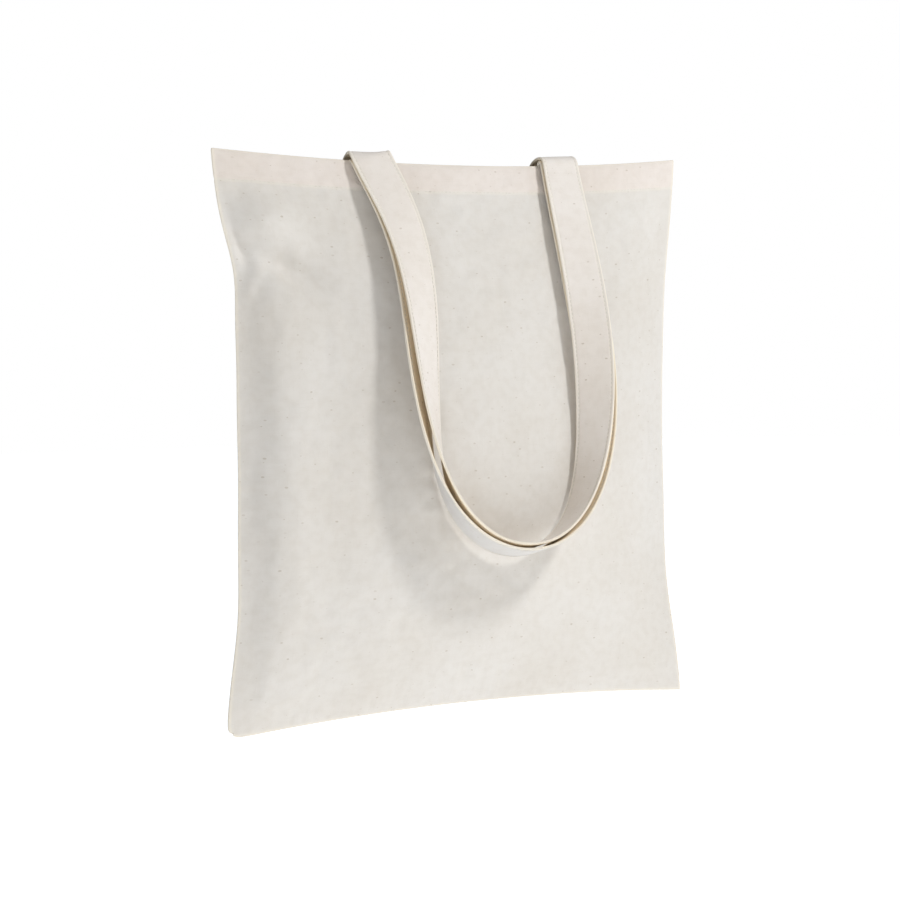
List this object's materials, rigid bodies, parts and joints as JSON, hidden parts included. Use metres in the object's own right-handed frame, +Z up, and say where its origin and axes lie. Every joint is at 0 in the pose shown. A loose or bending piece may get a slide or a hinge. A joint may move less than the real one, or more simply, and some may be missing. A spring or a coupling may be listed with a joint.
{
  "type": "canvas tote bag",
  "caption": "Flat open-top cotton canvas shopping bag with two long flat carrying handles hanging down its front.",
  "frame": {"origin": "middle of the mouth, level with the bag's top corners, in the plane of the side seams", "axes": "+Z up, +Y to the back of the bag, +X to the right seen from the front; the handles hang down the front, at -Y"},
  "size_m": [0.38, 0.1296, 0.42],
  "materials": {
    "body_canvas": "plain-weave unbleached cotton",
    "hem_and_handle_canvas": "folded unbleached cotton",
    "thread": "cotton sewing thread"
  },
  "bodies": {
    "bag": {"front_panel": "body_canvas", "front_hem": "hem_and_handle_canvas", "front_hem_stitching": "thread", "front_handle_tab_left": "hem_and_handle_canvas", "front_handle_tab_right": "hem_and_handle_canvas", "front_box_stitch_left": "thread", "front_box_stitch_right": "thread", "back_panel": "body_canvas", "back_hem": "hem_and_handle_canvas", "back_hem_stitching": "thread", "back_handle_tab_left": "hem_and_handle_canvas", "back_handle_tab_right": "hem_and_handle_canvas", "back_box_stitch_left": "thread", "back_box_stitch_right": "thread", "left_seam_allowance": "body_canvas", "left_seam_stitching": "thread", "right_seam_allowance": "body_canvas", "right_seam_stitching": "thread", "bottom_seam_allowance": "body_canvas", "bottom_seam_stitching": "thread"},
    "front_loop": {"front_handle": "hem_and_handle_canvas", "front_handle_edge_stitching": "thread"},
    "back_loop": {"back_handle": "hem_and_handle_canvas", "back_handle_edge_stitching": "thread"}
  },
  "joints": [
    {"name": "back_handle_swing", "type": "hinge", "parent": "bag", "child": "back_loop", "pos_m": [0, 0.0046, -0.0057], "axis": [-1, 0, 0], "range_deg": [0, 165]},
    {"name": "front_handle_swing", "type": "hinge", "parent": "bag", "child": "front_loop", "pos_m": [0, -0.0146, -0.0057], "axis": [-1, 0, 0], "range_deg": [0, 165]}
  ],
  "couplings": [
    {"joint": "front_handle_swing", "follows": "back_handle_swing", "ratio": 1}
  ]
}
